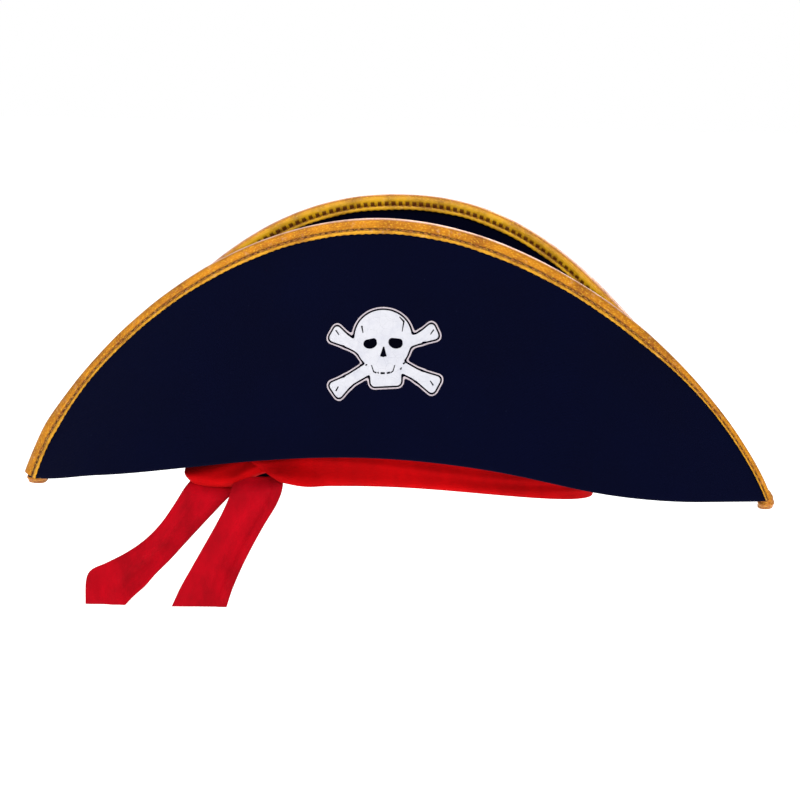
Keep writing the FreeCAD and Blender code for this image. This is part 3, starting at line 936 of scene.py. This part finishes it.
def crown_point(side, a, b, growth):
    """A point of the crown's skin and its spot on the flat cloth."""
    turn = (a - 0.5) * math.pi
    narrow = math.cos(turn)
    x = (CROWN_WIDE + growth) * math.sin(turn)
    deep = (CROWN_DEEP + growth) * narrow
    if b < WALL_SHARE:
        low = sag(x)
        z = low + (WALL_TOP - low) * b / WALL_SHARE
        point = Vector((x, FACING[side] * deep, z))
    else:
        rise = (b - WALL_SHARE) / (1 - WALL_SHARE) * math.pi / 2
        z = WALL_TOP + (DOME + growth) * narrow * math.sin(rise)
        point = Vector((x, FACING[side] * deep * math.cos(rise), z))
    return point, (0.3 + turn * 0.09, b * 0.13)


def crown_place(side, growth, dents):
    """The skin with soft dents, which fade out along the seam."""
    def place(a, b):
        slow = math.sin(7 * a + 2 * FACING[side]) * math.sin(5 * b + 1) + 0.5 * math.sin(17 * a + 9 * b)
        fading = math.sin(math.pi * a) ** 0.5 * math.sin(math.pi * min(b + 0.1, 1))
        return crown_point(side, a, b, growth + dents * (0.5 + 0.33 * slow) * fading)

    return place


crown_cloth = {}
crown_lining = {}
for side in FACING:
    back = side == "back"
    shell = cloth_grid("crown_%s_cloth" % side, 96, 54, crown_place(side, 0.0, 2.2 * MM), NAVY,
                       turned=back, welded=True)
    crown_cloth[side] = thicken(shell, 0.9 * MM)
    inside = cloth_grid("crown_%s_lining" % side, 90, 50, crown_place(side, -1.5 * MM, -1.2 * MM), LINING,
                        turned=not back, welded=True)
    crown_lining[side] = thicken(inside, 0.4 * MM)
    print(shell.name, len(shell.data.vertices), "vertices")


def seam_point(a):
    """A point of the seam over the crown, whose first and last sixth climb the wall's two ends."""
    if a < 1 / 6 or a > 5 / 6:
        hand = -1 if a < 0.5 else 1
        s = a * 6 if a < 0.5 else (1 - a) * 6
        low = sag(CROWN_WIDE) + SEAM_START
        return Vector((hand * CROWN_WIDE, 0, low + (WALL_TOP - low) * s))
    turn = (a - 1 / 6) * 1.5 * math.pi
    return Vector((-CROWN_WIDE * math.cos(turn), 0, WALL_TOP + DOME * math.sin(turn)))


def seam_frame(a):
    """Point, way along and way out of the seam."""
    along = (seam_point(min(a + 0.004, 1)) - seam_point(max(a - 0.004, 0))).normalized()
    out = Vector((0, 1, 0)).cross(along).normalized() * -1
    return seam_point(a), along, out


def seam_place(a, b):
    """A narrow welt along the seam."""
    point, along, out = seam_frame(a)
    turn = b * TURN
    swell = SEAM_HALF * min(1.0, 12 * min(a, 1 - a)) * (1 + 0.12 * math.sin(a * 170))
    side_step = Vector((0, 1, 0)) * math.cos(turn) * swell * 1.2
    return point + side_step + out * math.sin(turn) * swell, (b * 0.006, a * 0.4)


crown_seam = turned_out(cloth_grid("crown_seam_welt", 160, 12, seam_place, NAVY, welded=True))


def crown_topstitching():
    """A row of stitches on each side of the seam."""
    spots = []
    for count in range(8, 92):
        point, along, out = seam_frame(count / 100)
        for hand in (-1, 1):
            side_step = Vector((0, hand * 3.2 * MM, 0))
            spots.append((point + side_step + out * 0.15 * MM, along, out))
    return stitches("crown_topstitching", spots, (2.6 * MM, 0.5 * MM, 0.6 * MM), NAVY_THREAD)


crown_stitches = crown_topstitching()

# %% [markdown]
# ## Sweatband
# Inside the opening a ribbed ribbon keeps the cloth off the forehead. It is a strip round the
# oval, rolled at both edges, a little loose at the top, and sewn near the bottom.

# %% Sweatband
BAND_HEIGHT = 20 * MM
RIBBON_INSET = 2.3 * MM
RIBBON_SEAM = 0.13
RIBBON_STITCHES = 110


def ribbon_point(a, b, lift):
    """The ribbon's inner face at the share a round the oval and b of its height."""
    turn = a * TURN
    wide, deep = CROWN_WIDE - RIBBON_INSET, CROWN_DEEP - RIBBON_INSET
    loose = ease(b, 0.5, 1.0) * MM * (0.6 + 0.5 * math.sin(turn * 3 + 1) + 0.3 * math.sin(turn * 7))
    x = (wide - loose - lift) * math.cos(turn)
    y = (deep - loose - lift) * math.sin(turn)
    return Vector((x, y, sag(x) + 0.3 * MM + b * BAND_HEIGHT))


def ribbon_place(a, b):
    """The ribbon with rolled edges and a slight groove where it is sewn."""
    edge = 0.35 * MM * (lump(b, 0.0, 0.08) + lump(b, 1.0, 0.08)) - 0.15 * MM * lump(b, RIBBON_SEAM, 0.04)
    return ribbon_point(a, b, edge), (a * 0.56, b * BAND_HEIGHT)


sweatband = cloth_grid("sweatband_ribbon", 240, 22, ribbon_place, RIBBON, turned=True, welded=True)
print("ribbon area", round(area_of(sweatband), 5))
thicken(sweatband, 0.7 * MM)


def ribbon_stitches():
    """The seam that holds the ribbon, near its lower edge."""
    spots = []
    for count in range(RIBBON_STITCHES):
        a = count / RIBBON_STITCHES
        point = ribbon_point(a, RIBBON_SEAM, 0.0)
        along = (ribbon_point(a + 0.002, RIBBON_SEAM, 0.0) - point).normalized()
        inwards = Vector((0, 0, 1)).cross(along)
        spots.append((point + inwards * 0.1 * MM, along, inwards))
    return stitches("sweatband_stitches", spots, (2.8 * MM, 0.6 * MM, 0.6 * MM), NAVY_THREAD)


sweatband_seam = ribbon_stitches()

# %% [markdown]
# ## Sash band
# A velvet sash is drawn round the crown under the brim and crosses over its own wrap at the front
# left. The band is a strip on the oval: its start is cut slanting and lifted over the wrap,
# and from there it runs to the right, round the back, and ends behind the wrap. Soft ridges
# along it are the creases of cloth pulled tight.

# %% Sash band
SASH_WIDE = CROWN_WIDE + 0.4 * MM
SASH_DEEP = CROWN_DEEP + 0.4 * MM
START_RAISE, START_LIFT = 1.6 * MM, 9.0 * MM
THINNEST = 0.7 * MM


def oval_turn(x):
    """The angle round the front of the sash's oval where X is x millimetres."""
    return math.pi + math.acos(-x * MM / SASH_WIDE)


SLANT_TOP, SLANT_LOW = oval_turn(-77.0), oval_turn(-56.0)
SASH_END = TURN + oval_turn(-106.0)


def oval_point(turn):
    """Point on the sash's oval."""
    return Vector((SASH_WIDE * math.cos(turn), SASH_DEEP * math.sin(turn), 0))


def oval_out(turn):
    """The way outwards from the sash's oval."""
    return Vector((math.cos(turn) / SASH_WIDE, math.sin(turn) / SASH_DEEP, 0)).normalized()


def band_levels(x):
    """Lower and upper edge of the band."""
    return sag(x) - 0.6 * MM, fold_of(x / HALF_SPAN).y - 0.5 * MM


def band_place(a, b):
    """The band, raised and lifted over the wrap at its slanting start."""
    start = SLANT_LOW + (SLANT_TOP - SLANT_LOW) * b
    turn = start + (SASH_END - start) * (0.12 * a + 0.88 * a * a if a < 1 else 1)
    point = oval_point(turn)
    low, high = band_levels(point.x)
    low += START_RAISE * (1 - ease(turn - start, 0.0, 0.16))
    over_wrap = START_LIFT * (1 - ease(turn - start, 0.02, 0.26))
    ridge_one = lump(b, 0.30 + 0.16 * math.sin(2.1 * turn + 0.6), 0.16)
    ridge_two = 0.8 * lump(b, 0.66 + 0.12 * math.sin(3.3 * turn), 0.12)
    fine = 0.25 * math.sin(7 * b + 5 * turn)
    rolled = -0.9 * (1 - ease(b, 0.0, 0.10)) - 0.4 * ease(b, 0.93, 1.0)
    lifted = (1.15 + 0.85 * (ridge_one + ridge_two) + 0.5 * fine + rolled) * MM + over_wrap
    level = low + (high - low) * b + 0.35 * MM * math.sin(4 * turn) * (1 - b)
    spot = point + oval_out(turn) * max(lifted, THINNEST)
    return Vector((spot.x, spot.y, level)), (a * 0.52, b * 0.022)


sash_band = cloth_grid("sash_band_velvet", 260, 34, band_place, BAND_VELVET)
print("band area", round(area_of(sash_band), 5))
thicken(sash_band, 0.6 * MM)

# %% [markdown]
# ## The wrap
# Where the sash is tied, one turn of it bulges over the crossing and the two tails come out below.
# It is a closed, flattened tube along the oval. Its lower edge is drawn, its upper edge
# follows the fold of the brim, its left end is blunt and its right end tapers under the band. The
# front is pushed out past the oval, and slanting creases run over it.

# %% Sash wrap
wrap_low = smooth_line([(-119.2, 5.6), (-117.6, 0.2), (-113.4, -4.4), (-106.0, -5.9), (-97.0, -5.8),
                        (-88.0, -4.4), (-80.0, -0.4), (-71.0, 3.8), (-62.0, 5.4), (-55.5, 7.5)])
WRAP_FRONT = 51.5 * MM
WRAP_BACK = 0.7 * MM
WRAP_GAP = 1.2 * MM
BLUNT, TAPERED = 7.0, 2.6


def wrap_place(a, b):
    """The tube's skin, from its left end to its right one."""
    low = wrap_low(a)
    point = oval_point(oval_turn(low.x))
    top = fold_of(low.x * MM / HALF_SPAN).y - 0.4 * MM
    middle = (low.y * MM + top) / 2
    ends = math.sqrt(max(1 - abs(2 * a - 1) ** (BLUNT if a < 0.5 else TAPERED), 0.0))
    half = max(top - middle, 0.0) * ends
    turn = b * TURN
    forward = math.sin(turn)
    upward = -math.cos(turn)
    depth = (2.4 + 11.0 * (1 - abs(2 * a - 1) ** 2.2)) * ends * MM
    folds = 0.9 * math.sin(5.0 * a + 3.2 * upward + 0.4) + 0.45 * math.sin(11 * a - 5 * upward)
    outwards = WRAP_GAP + forward * (depth if forward > 0 else WRAP_BACK)
    outwards += folds * MM * max(forward, 0) * ends
    spot = point - Vector((0, outwards, 0))
    if forward > 0:
        pushed = (WRAP_FRONT + folds * MM) * forward ** 0.5 * ends
        spot.y = min(spot.y, -pushed - (1 - forward ** 0.5) * -point.y)
    return Vector((spot.x, spot.y, middle + upward * half)), (a * 0.07, b * 0.05)


sash_wrap = turned_out(cloth_grid("sash_wrap", 90, 56, wrap_place, BAND_VELVET, welded=True))
print("wrap area", round(area_of(sash_wrap), 5))

# %% [markdown]
# ## The tails
# Each tail is a folded velvet ribbon. A cloth simulation could hang it, but its outline matters
# more than its physics here, so the outline is drawn: rungs across the ribbon, from under the
# wrap to the level cut. A closed, flat tube runs through the rungs, and waves in its depth are the
# lengthwise folds of the cloth and its turned hem.

# %% Tails
TAIL_HALF_THICKNESS = 0.75 * MM
LEFT_RUNGS = [((-112, 2), (-84, 0)), ((-117, -4.2), (-88.0, -6.6)), ((-124.3, -16), (-96.0, -15.5)),
              ((-132.2, -27.6), (-105.2, -25.7)), ((-141.5, -37.6), (-115.8, -37.7)),
              ((-152.5, -45.8), (-126.6, -50.0)), ((-165.0, -52.8), (-135.6, -59.4)),
              ((-174.8, -57.9), (-142.0, -67.0)), ((-178.4, -65.2), (-148.2, -72.8)),
              ((-179.0, -79.8), (-154.2, -79.2))]
RIGHT_RUNGS = [((-87, 3), (-58.0, 4.5)), ((-88.5, -6), (-56.6, -1.0)), ((-92.2, -15.6), (-60.2, -11.2)),
               ((-98.2, -27.5), (-67.6, -24.0)), ((-105.0, -39.9), (-74.6, -37.2)),
               ((-112.2, -53.0), (-80.6, -49.6)), ((-118.4, -64.4), (-86.2, -63.0)),
               ((-124.2, -77.0), (-90.4, -75.6))]


def tail_place(rungs, root, forward, folds):
    """How a tail lies, from root to forward in Y; folds(along, across) is its relief in millimetres."""
    left = smooth_line([(*start, 0.0) for start, end in rungs])
    right = smooth_line([(*end, 0.0) for start, end in rungs])

    def place(a, b):
        turn = b * TURN
        across = -math.cos(turn)
        side_face = math.sin(turn)
        flat = left(a).lerp(right(a), (across + 1) / 2)
        rounded = math.copysign(abs(side_face) ** 0.45, side_face)
        closing = min(1.0, (min(a, 1 - a) * 90) ** 0.5)
        hang = root + (forward - root) * ease(a, 0.0, 0.16)
        relief = folds(a, across) * (1 - 0.8 * ease(a, 0.88, 1.0))
        depth = (hang - relief) * MM - rounded * TAIL_HALF_THICKNESS * closing
        return Vector((flat.x * MM, depth, flat.y * MM)), (b * 0.06, a * 0.11)

    return place


def left_folds(a, w):
    """A diagonal crease that crosses the tail, and slow waves beside it."""
    crease = 1.7 * lump(w, -0.55 + 0.9 * a, 0.22) * ease(a, 0.08, 0.25)
    waves = 1.2 * math.sin(2.2 * w + 5.0 * a) + 0.5 * math.sin(6.0 * w - 7 * a)
    hem = 0.5 * lump(w, 0.9, 0.08) + 0.5 * lump(w, -0.9, 0.08)
    return crease + waves * ease(a, 0.0, 0.3) + hem - 0.8


def right_folds(a, w):
    """A fold line and a turned hem along the right edge."""
    hem = 1.2 * ease(w, 0.62, 0.72) - 0.9 * lump(w, 0.58, 0.06)
    waves = 1.3 * math.sin(2.4 * w + 1.2 + 3 * a) + 0.5 * math.sin(5.5 * w + 4 * a)
    crease = 1.1 * lump(w, -0.2 + 0.35 * a, 0.20) * ease(a, 0.1, 0.4)
    return (waves * ease(a, 0.0, 0.3) + hem + crease) * (0.75 + 0.25 * a)


tails = {}
for hand, rungs, root, forward, folds in (("left", LEFT_RUNGS, -43.0, -49.5, left_folds),
                                          ("right", RIGHT_RUNGS, -48.5, -54.5, right_folds)):
    piece = cloth_grid("tail_%s_velvet" % hand, 130, 72, tail_place(rungs, root, forward, folds),
                       TAIL_VELVET, welded=True)
    tails[hand] = turned_out(piece)
    print(piece.name, "area", round(area_of(piece), 5), "vertices", len(piece.data.vertices))

# %% [markdown]
# ## Bodies
# The new pieces take the place of the frame's parts, which are hidden. The tip feet, the crown's
# cloth, lining, seam and stitches, the sweatband and its seam, and the sash band and wrap are
# attached to the root body; the leaves' pieces and the tails only have their transforms baked.

# %% Bodies
for side in FACING:
    leaf = "brim_" + side
    leaf_pieces = [brim_cloth[side, "outer"], brim_cloth[side, "inner"], bindings[side], tape_seams[side]]
    if side == "front":
        leaf_pieces += [badge_film, badge_line, badge_white, badge_features]
    for piece in leaf_pieces:
        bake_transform(piece)
    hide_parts(leaf + "_outer_cloth", leaf + "_interlining")
    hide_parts(leaf + "_inner_cloth")
    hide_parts("trim_" + side)
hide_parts("brim_base_outer_cloth", "brim_base_interlining")
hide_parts("brim_base_inner_cloth")
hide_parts("badge_film")
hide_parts("badge_print")

for name, foot in feet.items():
    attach(foot, "root")
    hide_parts("trim_tip_" + name)
for side in FACING:
    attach(crown_cloth[side], "root")
    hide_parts("crown_%s_panel" % side)
    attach(crown_lining[side], "root")
    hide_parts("crown_lining")
for piece in (crown_seam, crown_stitches):
    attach(piece, "root")
for piece in (sweatband, sweatband_seam):
    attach(piece, "root")
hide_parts("sweatband")
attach(sash_band, "root")
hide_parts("sash_band")
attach(sash_wrap, "root")
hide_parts("sash_knot")

# Each tail's hinge below the wrap, and the way the tail leaves it.
HINGES = {"left": ((-0.1119, -0.0500, -0.0194), (-0.623, 0, -0.782)),
          "right": ((-0.07807, -0.0545, -0.01905), (-0.479, 0, -0.878))}
for hand, (hinge, way) in HINGES.items():
    neck = "tail_%s_neck" % hand
    half = Vector(way) * 4 * MM
    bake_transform(tails[hand], neck, "tail_" + hand, start=Vector(hinge) - half, end=Vector(hinge) + half)
    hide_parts(neck, "tail_" + hand)

# %% [markdown]
# ## Sheet names
# The loop below only forms the names of the cloth sheets; it sets no cut size and keeps nothing.

# %% Sheet names
for side in FACING:
    side + "_outer_cloth"
    side + "_outer_cloth"
    "crown_%s_cloth" % side

# %% [markdown]
# ## Floor, light and camera
# A hat like this is worn, so nothing of it stands on the floor. A plain pale floor lies a little
# below the tails, and large soft lamps with a sky that is bright above and dim at the sides give
# studio light. The camera looks from slightly above and from the side of +X, with a long lens, so
# the two arches nest.

# %% Floor, light and camera
FLOOR_LEVEL = -0.16


def pale_floor():
    """A wide floor that glows a little, so that it is as pale as the background."""
    bm = bmesh.new()
    bmesh.ops.create_grid(bm, x_segments=1, y_segments=1, size=6.0)
    for vertex in bm.verts:
        vertex.co.z = FLOOR_LEVEL
    finish = Finish("pale_floor", Specular_IOR_Level=0.1, Emission_Color=(1.0, 1.0, 1.0, 1.0),
                    Emission_Strength=0.42)
    speck = finish.noise(finish.place(), 40.0, 2.0)
    finish.finish(finish.mix(speck, rgb(238, 238, 238), rgb(246, 246, 246)), 0.9 + speck * 0.05)
    return publish(bm, "floor", finish.material)


floor = pale_floor()


def soft_lamp(name, place, aim, size, power):
    """A square area lamp at a place, turned towards aim."""
    data = bpy.data.lights.new(name, "AREA")
    data.shape = "SQUARE"
    data.size = size
    data.energy = power
    lamp = bpy.data.objects.new(name, data)
    lamp.location = place
    lamp.rotation_mode = "QUATERNION"
    lamp.rotation_quaternion = (Vector(aim) - Vector(place)).to_track_quat("-Z", "Y")
    bpy.context.scene.collection.objects.link(lamp)


middle = (0, 0, 0.04)
soft_lamp("key", (-0.9, -1.4, 1.5), middle, 0.8, 22)
soft_lamp("fill", (1.3, -1.0, 0.5), middle, 0.6, 6)
soft_lamp("rim", (0.2, 1.2, 1.3), middle, 0.9, 14)


def studio_world():
    """White behind the object, and a soft bright-to-dim sky that lights it."""
    world = bpy.data.worlds.new("studio")
    world.use_nodes = True
    tree = world.node_tree
    way = tree.nodes.new("ShaderNodeTexCoord")
    split = tree.nodes.new("ShaderNodeSeparateXYZ")
    ramp = tree.nodes.new("ShaderNodeValToRGB")
    stops = [(0.0, 0.42), (0.42, 0.50), (0.52, 0.26), (0.62, 0.42), (0.72, 0.95), (1.0, 0.62)]
    while len(ramp.color_ramp.elements) < len(stops):
        ramp.color_ramp.elements.new(1.0)
    for element, (position, grey) in zip(ramp.color_ramp.elements, stops):
        element.position = position
        element.color = (grey, grey, grey, 1.0)
    shift = tree.nodes.new("ShaderNodeMath")
    shift.operation = "MULTIPLY_ADD"
    shift.inputs[1].default_value = 0.5
    shift.inputs[2].default_value = 0.5
    light_path = tree.nodes.new("ShaderNodeLightPath")
    mix = tree.nodes.new("ShaderNodeMix")
    mix.data_type = "RGBA"
    mix.inputs[7].default_value = (1.0, 1.0, 1.0, 1.0)
    tree.links.new(way.outputs["Generated"], split.inputs[0])
    tree.links.new(split.outputs["Z"], shift.inputs[0])
    tree.links.new(shift.outputs[0], ramp.inputs[0])
    tree.links.new(light_path.outputs["Is Camera Ray"], mix.inputs[0])
    tree.links.new(ramp.outputs[0], mix.inputs[6])
    tree.links.new(mix.outputs[2], tree.nodes["Background"].inputs["Color"])
    bpy.context.scene.world = world


studio_world()
bpy.context.scene.view_settings.view_transform = "Standard"


def aim_camera():
    """A long lens, swung to the right, lifted, and rolled by under a degree."""
    swing, lift, roll = math.radians(8.147), math.radians(9.0), math.radians(0.828)
    pivot, distance = Vector((0, 0, 0.080)), 1.350
    target = Vector((0.0049, 0, 0.0444))
    backward = Vector((math.sin(swing) * math.cos(lift), -math.cos(swing) * math.cos(lift), math.sin(lift)))
    place = pivot + distance * backward
    forward = (target - place).normalized()
    right = forward.cross(Vector((0, 0, 1))).normalized()
    up = right.cross(forward)
    across = right * math.cos(roll) + up * math.sin(roll)
    upright = up * math.cos(roll) - right * math.sin(roll)
    data = bpy.data.cameras.new("camera")
    data.sensor_width = 36.0
    data.lens = 100.55
    camera = bpy.data.objects.new("camera", data)
    turn = Matrix((across, upright, -forward)).transposed().to_4x4()
    turn.translation = place
    camera.matrix_world = turn
    bpy.context.scene.collection.objects.link(camera)
    bpy.context.scene.camera = camera


aim_camera()
